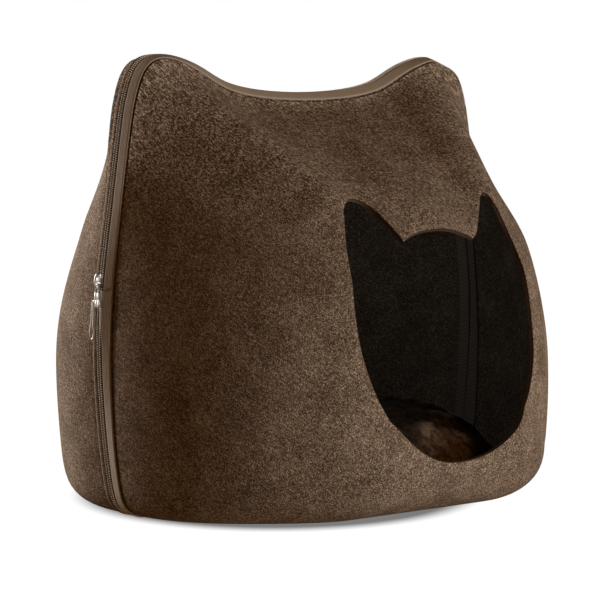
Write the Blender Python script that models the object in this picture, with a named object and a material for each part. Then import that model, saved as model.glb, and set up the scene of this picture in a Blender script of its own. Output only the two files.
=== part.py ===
"""Felt cat cave: two moulded felt shells that a zip joins all the way round, with a cushion inside.

The doorway has the shape of a cat's head and faces -Y. The zip lies in the plane y = ZIP_PLANE. The cave
stands on z = 0. Sizes are in metres.
"""

from math import cos, pi, radians, sin

import bmesh
import bpy
import numpy as np
from mathutils import Matrix, Vector

# Overall sizes of the felt
FRONT_BULGE = 0.2249  # from the zip to the front
BACK_BULGE = 0.1951  # from the zip to the back
ZIP_PLANE = (FRONT_BULGE - BACK_BULGE) / 2  # puts the origin under the middle of the cave
HEART = 0.150  # height of the point that the ribs run to
FELT = 0.005
GAP = 0.0003  # between pieces that touch

# The zip's line, from the ridge between the ears down to the middle of the base
ZIP_LINE = (  # name, distance from the middle, height
    ("ridge", 0.0, 0.3831),
    ("ear foot", 0.0925, 0.3925),
    ("ear slope", 0.1300, 0.4090),
    ("ear tip", 0.1890, 0.4142),
    ("ear corner", 0.2090, 0.3820),
    ("below the ear", 0.2143, 0.3590),
    ("upper side", 0.2281, 0.2690),
    ("widest", 0.2391, 0.1649),
    ("low side", 0.2279, 0.0350),
    ("base corner", 0.2126, 0.0057),
    ("flat base", 0.1300, -0.0040),
    ("middle of the base", 0.0, -0.0040),
)

# How far the felt beside the zip leans in, away from square to the zip's plane
LEAN = (  # direction from the heart in degrees, lean in front, lean behind
    (-90, 0, 0),
    (-60, 0, 0),
    (-25, -4, 0),
    (-4, 8, 0),
    (12, 17, 4),
    (34, 8, 10),
    (50, 12, 0),
    (57, 17, 8),
    (66, 42, 30),
    (90, 41, 38),
)

# How a rib rises from the crease (1) to the heart (0): (1 - distance ** roundness) ** steepness
RIBS = (  # direction from the heart in degrees, roundness and steepness in front, the same behind
    (-90, 6.61, 0.253, 6.61, 0.253),
    (-60, 6.65, 0.258, 6.65, 0.258),
    (-30, 2.37, 0.482, 2.35, 0.478),
    (0, 2.35, 0.547, 2.40, 0.547),
    (30, 2.69, 0.910, 2.41, 0.819),
    (54, 2.59, 1.756, 3.20, 1.640),
    (72, 2.86, 1.406, 3.40, 0.965),
    (90, 3.31, 1.436, 2.92, 0.689),
)
DOME = (2.3, 0.55)  # roundness and steepness that all ribs behind share near the heart
DOME_REACH = 0.7  # of the way to the crease, where the ribs' own shape takes over

# Doorway: a round head with two pointed ears
ARCH_RADIUS = 0.098  # the crown between the ears, about the head's middle
HEAD_MIDDLE = 0.165
ARCH_END = radians(62.6)  # where the crown meets the ear
EAR_POINT = ((0.0790, 0.2893), (0.0845, 0.2918), (0.0905, 0.2880))  # distance from the middle, height
HEAD_SIDE = (  # name, distance from the middle, height
    ("ear side", 0.1000, 0.2635),
    ("cheek", 0.1072, 0.2150),
    ("widest", 0.1087, 0.1650),
    ("jaw", 0.0838, 0.1002),
    ("chin", 0.0400, 0.0635),
    ("sill", 0.0, 0.0545),
)

# The felt's edge along the zip
RIM_WIDTH = 0.0121  # straight felt from its cut edge to the crease where the face begins
FRONT_EDGE = 0.0044  # from the zip's middle to the front felt's cut edge
BACK_EDGE = 0.0032
RIM_FLOOR = 0.0022  # the base is pressed up this far under the bindings

# Woven bands and tapes
BINDING = 0.0012  # thickness
BINDING_ROUNDING = 0.0007  # width taken off each outer edge
FRONT_BINDING = (0.0003, 0.0104)  # from the felt's cut edge, near and far edge
BACK_BINDING = (0.0001, 0.0050)
TAPE = 0.0010
TAPE_REACH = 0.0108
TAPE_MARGIN = 0.0014  # short of where the felt turns inward

# Zip chain and slider
CHAIN_HALF = 0.0023
CHAIN_PROUD = 0.0010  # over the felt's face
CHAIN_SHOULDER = 0.0008  # height of the coil's rounded edges
CHAIN_CROWN = 0.6  # of the half width that is flat on top
WEB_TOP = -0.0008
WEB_BOTTOM = -0.0022
SLIDER_HEIGHT = 0.2150
SLIDER_LENGTH = 0.0115
SLIDER_HALF_WIDTH = 0.0048
SLIDER_THICK = 0.0018
SLIDER_BEVEL = 0.0004
SLIDER_OUTLINE = (  # part of the half width, part of the half length
    (0.62, -1.0),
    (0.86, -0.3),
    (1.0, 0.45),
    (0.8, 1.0),
)
LUG_REACH = 0.0034
LUG_HALF_WIDTH = 0.0011
LUG_LENGTH = 0.0080
LUG_WALL = 0.0009
BAIL_WIRE = 0.0007
BAIL_HEIGHT = 0.0015  # over the slider's top
CLASP_DROP = 0.0060  # from the lug's end to the clasp
CLASP_LENGTH = 0.0120
CLASP_WIDTH = 0.0064
CLASP_THICK = 0.0034
CLASP_CORNER = 0.0008
CLASP_RIBS = 5
CLASP_GROOVE = 0.0004
GROOVE_WIDTH = 0.82  # of the clasp's own width
LOOP_WIRE = 0.0006
LOOP_LENGTH = 0.0300
LOOP_HALF_WIDTH = 0.0040
LOOP_NECK = 0.35  # how full the loop is near the clasp
LOOP_POINTS = 28

# Cushion
CUSHION_HALF_WIDTH = 0.196
CUSHION_FRONT = 0.180  # from the zip's plane
CUSHION_BACK = 0.150
CUSHION_FLOOR = RIM_FLOOR + FELT + TAPE + 2 * GAP  # it lies on the tapes
CUSHION_TOP = 0.0760
CUSHION_LUMPS = 0.0030
CUSHION_SIDE = 0.55  # powers of the cosines and sines that shape its side, its corners and its top
CUSHION_CORNER = 0.8
CUSHION_CROWN = 0.75
CUSHION_AROUND = 40
CUSHION_RINGS = 6

# Mesh steps
STATIONS = 72  # round the zip and the doorway
ARCH_STEPS = 5
EAR_EDGE_STEPS = 3
POLE_RING = 0.07
TURN_WEIGHT = 0.07  # metres of length that count as much as one radian of turn
FRONT, BACK = -1, 1
EDGE = {FRONT: FRONT_EDGE, BACK: BACK_EDGE}
ROWS = {FRONT: 11, BACK: 13}  # from the crease inward


def clear_scene():
    for thing in list(bpy.data.objects):
        bpy.data.objects.remove(thing, do_unlink=True)


def material(name, colour, roughness, metallic=0.0):
    made = bpy.data.materials.new(name)
    made.use_nodes = True
    shader = made.node_tree.nodes["Principled BSDF"]
    shader.inputs["Base Color"].default_value = (*colour, 1.0)
    shader.inputs["Roughness"].default_value = roughness
    shader.inputs["Metallic"].default_value = metallic
    return made


def spline(points, steps, closed):
    """A smooth cubic curve through the points, with this many steps from one to the next."""
    points = np.array(points, float)
    count = len(points)
    spans = count if closed else count - 1
    following = np.roll(points, -1, axis=0)
    length = np.sqrt(np.linalg.norm(following - points, axis=1))
    system = np.eye(count)
    right = np.zeros_like(points)
    for i in range(count) if closed else range(1, count - 1):
        before, after = length[i - 1], length[i]
        system[i] = 0
        system[i, i - 1] = before
        system[i, i] = 2 * (before + after)
        system[i, (i + 1) % count] = after
        slope_after = (points[(i + 1) % count] - points[i]) / after
        slope_before = (points[i] - points[i - 1]) / before
        right[i] = 6 * (slope_after - slope_before)
    bend = np.linalg.solve(system, right)
    curve = []
    for i in range(spans):
        j = (i + 1) % count
        for step in range(steps):
            ahead = step / steps * length[i]
            left = length[i] - ahead
            curved = (bend[i] * left**3 + bend[j] * ahead**3) / (6 * length[i])
            start = (points[i] / length[i] - bend[i] * length[i] / 6) * left
            end = (points[j] / length[i] - bend[j] * length[i] / 6) * ahead
            curve.append(curved + start + end)
    if not closed:
        curve.append(points[-1])
    return np.array(curve)


def evenly(line, count, turning=0.0):
    """This many points along a line, its ends included, spread evenly or closer together where it turns."""
    steps = np.diff(line, axis=0)
    lengths = np.linalg.norm(steps, axis=1)
    ahead = steps / lengths[:, None]
    turn = np.linalg.norm(np.diff(ahead, axis=0), axis=1)
    weights = lengths + turning * (np.r_[turn, 0] + np.r_[0, turn]) / 2
    along = np.r_[0, np.cumsum(weights)]
    wanted = np.linspace(0, along[-1], count)
    return np.stack([np.interp(wanted, along, column) for column in line.T], axis=1)


def whole_loop(half):
    """The right half, from its top to its bottom, with its mirror image after it."""
    half = np.array(half, float)
    return np.concatenate([half, half[-2:0:-1] * (-1, 1)])


def zip_curve():
    """The right half of the zip's line as many short steps, from the ridge down to the middle of the base."""
    half = [(x, z) for _, x, z in ZIP_LINE]
    curve = spline(whole_loop(half), 60, closed=True)
    return curve[: len(curve) // 2 + 1]


def door_half():
    """The right half of the doorway, from the crown's top down to the sill, with half of the stations."""
    turns = np.linspace(pi / 2, ARCH_END, ARCH_STEPS + 1)
    crown = [(ARCH_RADIUS * cos(a), HEAD_MIDDLE + ARCH_RADIUS * sin(a)) for a in turns]
    ear_edge = evenly(np.array([crown[-1], EAR_POINT[0]]), EAR_EDGE_STEPS + 1)[1:]
    side = [EAR_POINT[-1]] + [(x, z) for _, x, z in HEAD_SIDE]
    both_sides = side + [(-x, z) for x, z in side[-2::-1]]
    curve = spline(both_sides, 40, closed=False)
    side_curve = curve[: len(curve) // 2 + 1]
    left_over = STATIONS // 2 - ARCH_STEPS - EAR_EDGE_STEPS - 2
    return np.concatenate([crown, ear_edge, EAR_POINT[1:2], evenly(side_curve, left_over + 1)])


def table_value(table, direction, column):
    """A column of a table between its rows, with no kinks."""
    rows = np.array(table, float)
    angles, values = np.radians(rows[:, 0]), rows[:, column]
    rises = np.diff(values) / np.diff(angles)
    before, after = rises[:-1], rises[1:]
    turning = before * after <= 0
    slopes = np.zeros(len(values))
    slopes[1:-1] = np.where(turning, 0, 2 * before * after / np.where(turning, 1, before + after))
    row = np.clip(np.searchsorted(angles, direction) - 1, 0, len(values) - 2)
    span = angles[row + 1] - angles[row]
    t = np.clip((direction - angles[row]) / span, 0, 1)
    low = values[row] * (1 + 2 * t) * (1 - t) ** 2 + slopes[row] * span * t * (1 - t) ** 2
    high = values[row + 1] * t * t * (3 - 2 * t) + slopes[row + 1] * span * t * t * (t - 1)
    return low + high


def outward(line, closed):
    """Unit normals of a line in the zip's plane, pointing away from the cave."""
    step = np.gradient(line, axis=0)
    if closed:
        step = np.roll(line, -1, axis=0) - np.roll(line, 1, axis=0)
    step /= np.linalg.norm(step, axis=1)[:, None]
    return np.stack([-step[:, 1], step[:, 0]], axis=1)


def lean(line, side):
    """How far the felt leans in beside each point of a line that follows the zip, in radians."""
    direction = np.arctan2(line[:, 1] - HEART, np.abs(line[:, 0]))
    return np.radians(table_value(LEAN, direction, 1 if side == FRONT else 2))


def crease(line, closed, side):
    """The crease beside a line that follows the zip, and its depth from the zip's plane."""
    tilt = lean(line, side)
    inward = outward(line, closed) * (RIM_WIDTH * np.sin(tilt))[:, None]
    return line - inward, EDGE[side] + RIM_WIDTH * np.cos(tilt)


ZIP_CURVE = zip_curve()
ZIP_STATIONS = whole_loop(evenly(ZIP_CURVE, STATIONS // 2 + 1, TURN_WEIGHT))
DOOR_STATIONS = whole_loop(door_half())
CREASES = {side: crease(ZIP_CURVE, False, side) for side in (FRONT, BACK)}


def felt_depth(x, z, side):
    """How far the felt's outer face lies from the zip's plane, at a place seen from the front."""
    line, depths = CREASES[side]
    directions = np.arctan2(line[::-1, 1] - HEART, line[::-1, 0])
    reaches = np.hypot(line[::-1, 0], line[::-1, 1] - HEART)
    direction = np.arctan2(z - HEART, np.abs(x))
    rim = np.interp(direction, directions, depths[::-1])
    distance = np.clip(np.hypot(x, z - HEART) / np.interp(direction, directions, reaches), 0, 1)
    first = 1 if side == FRONT else 3
    roundness, steepness = table_value(RIBS, direction, first), table_value(RIBS, direction, first + 1)
    if side == BACK:
        near = np.clip(distance / DOME_REACH, 0, 1) ** 2
        roundness = DOME[0] + (roundness - DOME[0]) * near
        steepness = DOME[1] + (steepness - DOME[1]) * near
    rise = (1 - distance**roundness) ** steepness
    return rim + ((FRONT_BULGE if side == FRONT else BACK_BULGE) - rim) * rise


def felt_face(side):
    """The felt's outer face as rows of stations, from the crease to the doorway or close to the heart."""
    steps = np.linspace(0, 1, 400) ** 2
    heart = np.array([0, HEART])
    ends = DOOR_STATIONS if side == FRONT else heart + (ZIP_STATIONS - heart) * POLE_RING
    ribs = []
    starts, rims = crease(ZIP_STATIONS, True, side)
    for start, end, rim in zip(starts, ends, rims):
        place = start + (end - start) * steps[:, None]
        depth = felt_depth(place[:, 0], place[:, 1], side)
        depth[0] = rim
        height = np.maximum(place[:, 1], 0)
        line = np.stack([place[:, 0], side * depth, height], axis=1)
        ribs.append(evenly(line, ROWS[side] + 1, TURN_WEIGHT))
    return np.array(ribs).transpose(1, 0, 2)


def face_normals(face):
    """Unit normals of a face given as rows of stations, pointing out of the cave."""
    along = np.gradient(face, axis=0)
    across = np.roll(face, -1, axis=1) - np.roll(face, 1, axis=1)
    normals = np.cross(along, across)
    normals /= np.linalg.norm(normals, axis=2)[:, :, None]
    middle = np.array([0, 0, HEART])
    return normals * np.sign(((face - middle) * normals).sum(axis=2).mean())


def rim_rows(side, places):
    """Rows beside the zip. Each place is (distance from the felt's cut edge, height over the felt)."""
    tilt = lean(ZIP_STATIONS, side)[:, None]
    line = ZIP_STATIONS.copy()
    line[:, 1] = np.maximum(line[:, 1], RIM_FLOOR)
    ring = np.stack([line[:, 0], np.full(len(line), ZIP_PLANE), line[:, 1]], axis=1)
    out = outward(line, True)
    out = np.stack([out[:, 0], np.zeros(len(out)), out[:, 1]], axis=1)
    away = np.array([0, side, 0])
    rows = []
    for across, height in places:
        inward = across * np.sin(tilt) - height / np.cos(tilt)
        rows.append(ring + away * (EDGE[side] + across * np.cos(tilt)) - out * inward)
    return rows


def rim_normals(side):
    """Unit normals of the felt beside the zip."""
    tilt = lean(ZIP_STATIONS, side)[:, None]
    out = outward(ZIP_STATIONS, True)
    out = np.stack([out[:, 0], np.zeros(len(out)), out[:, 1]], axis=1)
    return out * np.cos(tilt) + np.array([0, side, 0]) * np.sin(tilt)


def mesh_object(name, build, skin, parent=None, bevel=0.0):
    """An object whose mesh the function build fills in. With a bevel, its sharp edges are rounded."""
    made = bmesh.new()
    build(made)
    bmesh.ops.triangulate(made, faces=made.faces, quad_method="FIXED")
    bmesh.ops.recalc_face_normals(made, faces=made.faces)
    data = bpy.data.meshes.new(name)
    made.to_mesh(data)
    made.free()
    data.materials.append(skin)
    data.shade_smooth()
    data.set_sharp_from_angle(angle=radians(40))
    thing = bpy.data.objects.new(name, data)
    bpy.context.scene.collection.objects.link(thing)
    thing.parent = parent
    if bevel:
        rounding = thing.modifiers.new("Bevel", "BEVEL")
        rounding.width = bevel
        rounding.segments = 1
        rounding.limit_method = "ANGLE"
    return thing


def add_rows(made, rows):
    """Closes rows of points, each a loop, into bands of quads. Returns the rows of vertices."""
    rings = [[made.verts.new(point) for point in row] for row in rows]
    for low, high in zip(rings, rings[1:]):
        join_rings(made, low, high)
    return rings


def join_rings(made, low, high):
    for i in range(len(low)):
        j = (i + 1) % len(low)
        made.faces.new((low[i], low[j], high[j], high[i]))


def add_fan(made, ring, point):
    tip = made.verts.new(point)
    for i in range(len(ring)):
        made.faces.new((ring[i], ring[(i + 1) % len(ring)], tip))


def felt_shell(side, face, normals, binding, under_tape):
    """A function that builds one shell: felt along the zip, crease, bulging face, and the same inside."""
    beside = rim_normals(side)
    mitre = (beside + normals[0]) / (1 + (beside * normals[0]).sum(axis=1))[:, None]
    face = face + np.array([0, ZIP_PLANE, 0])
    under_binding = binding[1] + 2 * GAP
    outside = [*rim_rows(side, [(0, 0), (under_binding, 0)]), *face]
    inside = [*rim_rows(side, [(0, -FELT), (under_tape, -FELT)]), face[0] - mitre * FELT]
    inside.extend(face[1:] - normals[1:] * FELT)
    depth = float(felt_depth(np.zeros(1), np.array([HEART]), side)[0])

    def build(made):
        outer = add_rows(made, outside)
        inner = add_rows(made, inside)
        join_rings(made, outer[0], inner[0])
        if side == FRONT:
            join_rings(made, outer[-1], inner[-1])
            return
        add_fan(made, outer[-1], (0, ZIP_PLANE + side * depth, HEART))
        add_fan(made, inner[-1], (0, ZIP_PLANE + side * (depth - FELT), HEART))

    return build


def tape_reach(side, normals):
    """How far the tape inside can run from the felt's cut edge before the felt turns inward."""
    beside = rim_normals(side)
    away = np.array([0, side, 0])
    inward = np.sign(((normals[0] - beside) * away).sum(axis=1))
    half_turn = np.arccos(np.clip((beside * normals[0]).sum(axis=1), -1, 1)) / 2
    lost = (FELT + GAP + TAPE) * (np.tan(half_turn) * inward + np.tan(lean(ZIP_STATIONS, side)))
    free = np.minimum(TAPE_REACH, RIM_WIDTH - lost - TAPE_MARGIN)
    return np.stack([np.roll(free, 1), free, np.roll(free, -1)]).min(axis=0)[:, None]


def strip(side, places):
    """A function that builds a closed strip along the zip. Its section is given as places beside the zip."""

    def build(made):
        loops = add_rows(made, rim_rows(side, places))
        join_rings(made, loops[-1], loops[0])

    return build


def band_section(near, far):
    """A flat band over the felt with its two outer edges taken off."""
    inset = BINDING_ROUNDING
    return [
        (near, GAP),
        (far, GAP),
        (far, GAP + BINDING / 2),
        (far - inset, GAP + BINDING),
        (near + inset, GAP + BINDING),
        (near, GAP + BINDING / 2),
    ]


def chain_section():
    """The coil in the middle, and the woven web on which it is sewn, out to the felt on either side."""
    web_front = FRONT_EDGE - GAP
    web_back = -(BACK_EDGE - GAP)
    shoulder = CHAIN_PROUD - CHAIN_SHOULDER
    crown = CHAIN_HALF * CHAIN_CROWN
    return [
        (web_front, WEB_BOTTOM),
        (web_front, WEB_TOP),
        (CHAIN_HALF, WEB_TOP),
        (CHAIN_HALF, shoulder),
        (crown, CHAIN_PROUD),
        (-crown, CHAIN_PROUD),
        (-CHAIN_HALF, shoulder),
        (-CHAIN_HALF, WEB_TOP),
        (web_back, WEB_TOP),
        (web_back, WEB_BOTTOM),
    ]


def chain(made):
    """The zip's chain, which stays level with the zip's line however the felt beside it leans."""
    line = ZIP_STATIONS.copy()
    line[:, 1] = np.maximum(line[:, 1], RIM_FLOOR)
    out = outward(line, True)
    rows = []
    for forward, height in chain_section():
        place = line + out * height
        depth = np.full(len(place), ZIP_PLANE - forward)
        rows.append(np.stack([place[:, 0], depth, place[:, 1]], axis=1))
    loops = add_rows(made, rows)
    join_rings(made, loops[-1], loops[0])


def build_half(side, name, binding, felt, woven, tape):
    """One felt shell with the binding on its outside and the zip's tape on its inside."""
    face = felt_face(side)
    normals = face_normals(face)
    reach = tape_reach(side, normals)
    mesh_object(name + "_shell", felt_shell(side, face, normals, binding, reach + GAP), felt)
    mesh_object(name + "_binding", strip(side, band_section(*binding)), woven)
    top = -(FELT + GAP)
    section = [(0, top), (reach, top), (reach, top - TAPE), (0, top - TAPE)]
    mesh_object(name + "_zip_tape", strip(side, section), tape)


def slider_frame():
    """An empty on the left of the zip: +X to the front, +Y up along the zip and +Z out of the cave."""
    frame = bpy.data.objects.new("slider_frame", None)
    bpy.context.scene.collection.objects.link(frame)
    heights, reaches = ZIP_CURVE[::-1, 1], ZIP_CURVE[::-1, 0]
    hang = SLIDER_HEIGHT - LOOP_LENGTH - CLASP_LENGTH
    here = Vector((-float(np.interp(SLIDER_HEIGHT, heights, reaches)), 0, SLIDER_HEIGHT))
    below = Vector((-float(np.interp(hang, heights, reaches)), 0, hang))
    up = (here - below).normalized()
    forward = Vector((0, FRONT, 0))
    turn = Matrix((forward, up, forward.cross(up))).transposed()
    frame.matrix_world = Matrix.Translation(here + Vector((0, ZIP_PLANE, 0))) @ turn.to_4x4()
    return frame


def plate(outline, low, high, axis=2):
    """A function that builds a flat plate from an outline, between two levels along an axis."""

    def build(made):
        rows = [np.insert(np.array(outline), axis, level, axis=1) for level in (low, high)]
        bottom, top = add_rows(made, rows)
        made.faces.new(bottom[::-1])
        made.faces.new(top)

    return build


def wire(path, radius, sides=6):
    """A function that builds a closed loop of round wire along a path that lies flat in x and y."""
    path = [Vector(point) for point in path]

    def build(made):
        rows = []
        for i, point in enumerate(path):
            ahead = (path[(i + 1) % len(path)] - path[i - 1]).normalized()
            across = ahead.cross(Vector((0, 0, 1)))
            turns = [2 * pi * k / sides for k in range(sides)]
            rows.append([point + radius * (across * cos(a) + Vector((0, 0, sin(a)))) for a in turns])
        rings = add_rows(made, rows)
        join_rings(made, rings[-1], rings[0])

    return build


def slider_body(steel, frame, base, top):
    """The slider's plate with the lug that the bail runs through."""
    side = [(x * SLIDER_HALF_WIDTH, y * SLIDER_LENGTH / 2) for x, y in SLIDER_OUTLINE]
    outline = side + [(-x, y) for x, y in side[::-1]]
    body = mesh_object("slider_body", plate(outline, base, top), steel, frame, bevel=SLIDER_BEVEL)
    lug_end = LUG_LENGTH / 2
    foot, roof = top - GAP, top + LUG_REACH
    outer = [(-lug_end, foot), (-lug_end, roof - LUG_WALL), (-lug_end + LUG_WALL, roof)]
    inner = [(-lug_end + LUG_WALL, roof - LUG_WALL), (-lug_end + LUG_WALL, foot)]
    arch = outer + [(-y, z) for y, z in outer[::-1]] + [(-y, z) for y, z in inner[::-1]] + inner
    lug = mesh_object("lug", plate(arch, -LUG_HALF_WIDTH, LUG_HALF_WIDTH, axis=0), steel, frame)
    lug.hide_render = True
    lug.display_type = "WIRE"
    join = body.modifiers.new("Lug", "BOOLEAN")
    join.operation = "UNION"
    join.solver = "EXACT"
    join.object = lug


def pull_clasp(silver, frame, top, middle):
    """The ribbed clasp that grips the loop."""

    def build(made):
        pitch = CLASP_LENGTH / CLASP_RIBS
        rows = []
        for k in range(CLASP_RIBS):
            start = top - k * pitch
            rows += [(start, GROOVE_WIDTH), (start - CLASP_GROOVE, 1), (start - pitch + CLASP_GROOVE, 1)]
        rows.append((top - CLASP_LENGTH, GROOVE_WIDTH))
        sections = []
        for y, wide in rows:
            x, z = CLASP_WIDTH / 2 * wide, CLASP_THICK / 2 * wide
            quarter = [(x, z - CLASP_CORNER), (x - CLASP_CORNER, z)]
            half = quarter + [(-a, b) for a, b in quarter[::-1]]
            sections.append([(a, y, middle + b) for a, b in half + [(-a, -b) for a, b in half]])
        rings = add_rows(made, sections)
        made.faces.new(rings[0][::-1])
        made.faces.new(rings[-1])

    mesh_object("pull_clasp", build, silver, frame)


def build_slider(steel, silver):
    """Slider body with its lug, the bail through the lug, the ribbed clasp and the loop below it."""
    frame = slider_frame()
    base = GAP + BINDING + GAP
    top = base + SLIDER_THICK
    middle = top + BAIL_HEIGHT
    slider_body(steel, frame, base, top)

    clasp_top = -LUG_LENGTH / 2 - CLASP_DROP
    low = clasp_top + GAP + BAIL_WIRE
    high = -LUG_LENGTH / 2 + LUG_WALL + GAP + BAIL_WIRE
    half = LUG_HALF_WIDTH + GAP + BAIL_WIRE
    corner = BAIL_WIRE
    right = [(half - corner, low), (half, low + corner), (half, high - corner), (half - corner, high)]
    ring = [(x, y, middle) for x, y in right + [(-x, y) for x, y in right[::-1]]]
    mesh_object("slider_bail", wire(ring, BAIL_WIRE), silver, frame)
    pull_clasp(silver, frame, clasp_top, middle)

    loop_top = clasp_top - CLASP_LENGTH - GAP - LOOP_WIRE
    loop = []
    for k in range(LOOP_POINTS):
        turn = 2 * pi * k / LOOP_POINTS
        along = (1 - cos(turn)) / 2
        x = LOOP_HALF_WIDTH * sin(turn) * (LOOP_NECK + (1 - LOOP_NECK) * along)
        loop.append((x, loop_top - LOOP_LENGTH * along, middle))
    mesh_object("pull_loop", wire(loop, LOOP_WIRE), silver, frame)


def build_cushion(plush):
    """A filled cushion: full in the middle, drawn in at its seam, a little lumpy."""

    def power(value, exponent):
        return np.sign(value) * abs(value) ** exponent

    def build(made):
        rows = []
        half_height = (CUSHION_TOP - CUSHION_FLOOR) / 2
        for k in range(-CUSHION_RINGS, CUSHION_RINGS + 1):
            lift = pi / 2 * k / (CUSHION_RINGS + 1)
            row = []
            for i in range(CUSHION_AROUND):
                turn = 2 * pi * i / CUSHION_AROUND
                reach = cos(lift) ** CUSHION_SIDE
                length = CUSHION_BACK if sin(turn) > 0 else CUSHION_FRONT
                lump = CUSHION_LUMPS * sin(3 * turn + 1) * sin(2 * lift)
                x = (CUSHION_HALF_WIDTH + lump) * reach * power(cos(turn), CUSHION_CORNER)
                y = (length + lump) * reach * power(sin(turn), CUSHION_CORNER)
                height = half_height * (1 + power(sin(lift), CUSHION_CROWN)) + max(lump, 0) * (k > 0)
                row.append((x, y + ZIP_PLANE, CUSHION_FLOOR + height))
            rows.append(row)
        rings = add_rows(made, rows)
        add_fan(made, rings[0], (0, ZIP_PLANE, CUSHION_FLOOR))
        add_fan(made, rings[-1], (0, ZIP_PLANE, CUSHION_TOP))

    mesh_object("cushion", build, plush)


def main():
    clear_scene()
    felt = material("felt", (0.105, 0.072, 0.050), 0.95)
    woven = material("woven_band", (0.150, 0.115, 0.085), 0.75)
    tape = material("zip_tape", (0.100, 0.074, 0.054), 0.8)
    steel = material("slider_steel", (0.42, 0.41, 0.40), 0.35, 1.0)
    silver = material("pull_silver", (0.62, 0.60, 0.57), 0.3, 1.0)
    plush = material("plush", (0.16, 0.105, 0.06), 1.0)
    build_half(FRONT, "front", FRONT_BINDING, felt, woven, tape)
    build_half(BACK, "back", BACK_BINDING, felt, woven, tape)
    mesh_object("zip_chain", chain, tape)
    build_slider(steel, silver)
    build_cushion(plush)


main()
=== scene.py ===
# %% [markdown]
# # A felt cat cave
#
# A cave for a cat, moulded from thick brown felt: a front shell with a doorway shaped like a cat's head, a back
# shell, and a zip all the way round between them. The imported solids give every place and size, and this script
# replaces each with a finer piece, drawn from the same lines, with a finish of its own. Sizes are in metres, +Z
# is up and the doorway faces -Y.

# %% Load the solids
from math import cos, pi, radians, sin

import bmesh
import bpy
import numpy as np
from mathutils import Matrix, Vector, noise


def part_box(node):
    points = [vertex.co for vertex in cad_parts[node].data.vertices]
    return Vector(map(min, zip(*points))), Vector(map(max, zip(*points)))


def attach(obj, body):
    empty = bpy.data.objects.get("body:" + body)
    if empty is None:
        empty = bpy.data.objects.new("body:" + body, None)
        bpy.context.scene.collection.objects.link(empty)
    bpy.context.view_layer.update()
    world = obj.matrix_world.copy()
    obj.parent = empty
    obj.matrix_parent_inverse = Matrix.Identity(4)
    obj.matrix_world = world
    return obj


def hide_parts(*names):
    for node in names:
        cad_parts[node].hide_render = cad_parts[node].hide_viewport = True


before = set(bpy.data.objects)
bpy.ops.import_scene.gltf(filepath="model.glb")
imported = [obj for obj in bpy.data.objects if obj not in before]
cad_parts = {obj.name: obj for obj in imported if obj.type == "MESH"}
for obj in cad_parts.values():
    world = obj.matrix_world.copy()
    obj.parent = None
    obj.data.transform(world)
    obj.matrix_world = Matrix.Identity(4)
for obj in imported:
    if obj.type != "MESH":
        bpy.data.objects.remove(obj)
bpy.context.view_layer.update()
scene = bpy.context.scene


def add_object(name, data):
    thing = bpy.data.objects.new(name, data)
    scene.collection.objects.link(thing)
    return thing


# %% [markdown]
# ## The camera
#
# The camera stands far off with a long lens, a little above the middle of the cave, so that the walls stay
# nearly parallel. It looks at the cave's left front corner.

# %% Camera
FORWARD = Vector((0.6664, 0.7416, -0.0768)).normalized()
TARGET = Vector((0.0027, 0.0149, 0.1866))
CAMERA_DISTANCE, FOCAL_LENGTH = 2.6546, 166.9

lens = bpy.data.cameras.new("camera")
lens.sensor_width = 36
lens.lens = FOCAL_LENGTH
camera = add_object("camera", lens)
camera.location = TARGET - FORWARD * CAMERA_DISTANCE
camera.rotation_euler = FORWARD.to_track_quat("-Z", "Y").to_euler()
scene.camera = camera
print("camera at", tuple(camera.location))

# %% [markdown]
# ## The line of the zip
#
# Everything hangs on one closed line, the middle of the zip: a smooth curve through a few named points on the
# right half, mirrored to the left. It could be a Bezier object, but the rows of the felt are worked out from it,
# so a cubic spline in numpy is handier.

# %% The zip's line as a smooth curve
ZIP_LINE = {  # distance from the middle, height
    "ridge": (0.0, 0.3831),
    "ear foot": (0.0925, 0.3925),
    "ear slope": (0.1300, 0.4090),
    "ear tip": (0.1890, 0.4142),
    "ear corner": (0.2090, 0.3820),
    "below the ear": (0.2143, 0.3590),
    "upper side": (0.2281, 0.2690),
    "widest": (0.2391, 0.1649),
    "low side": (0.2279, 0.0350),
    "base corner": (0.2126, 0.0057),
    "flat base": (0.1300, -0.0040),
    "middle of the base": (0.0, -0.0040),
}
ZIP_PLANE = 0.0149
CURVE_STEPS = 60


def spline(points, steps, closed):
    """A smooth cubic curve through the points, with this many steps between two."""
    points = np.array(points, float)
    count = len(points)
    length = np.sqrt(np.linalg.norm(np.roll(points, -1, axis=0) - points, axis=1))
    system, right = np.eye(count), np.zeros_like(points)
    for i in range(count) if closed else range(1, count - 1):
        j, before, after = (i + 1) % count, length[i - 1], length[i]
        system[i] = 0
        system[i, [i - 1, i, j]] = before, 2 * (before + after), after
        right[i] = 6 * ((points[j] - points[i]) / after - (points[i] - points[i - 1]) / before)
    bend = np.linalg.solve(system, right)
    curve = []
    for i in range(count if closed else count - 1):
        j, span = (i + 1) % count, length[i]
        for ahead in np.arange(steps) / steps * span:
            left = span - ahead
            curved = (bend[i] * left**3 + bend[j] * ahead**3) / (6 * span)
            start = (points[i] / span - bend[i] * span / 6) * left
            curve.append(curved + start + (points[j] / span - bend[j] * span / 6) * ahead)
    return np.array(curve if closed else [*curve, points[-1]])


def along_of(line):
    """How far each point of a line is along it."""
    return np.r_[0, np.cumsum(np.linalg.norm(np.diff(line, axis=0), axis=1))]


def evenly(line, count, turning=0.0):
    """This many points along a line, spread evenly or closer together where it turns."""
    steps = np.diff(line, axis=0)
    lengths = np.linalg.norm(steps, axis=1)
    turn = np.linalg.norm(np.diff(steps / lengths[:, None], axis=0), axis=1)
    along = np.r_[0, np.cumsum(lengths + turning * (np.r_[turn, 0] + np.r_[0, turn]) / 2)]
    return np.stack([np.interp(np.linspace(0, along[-1], count), along, c) for c in line.T], axis=1)


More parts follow.
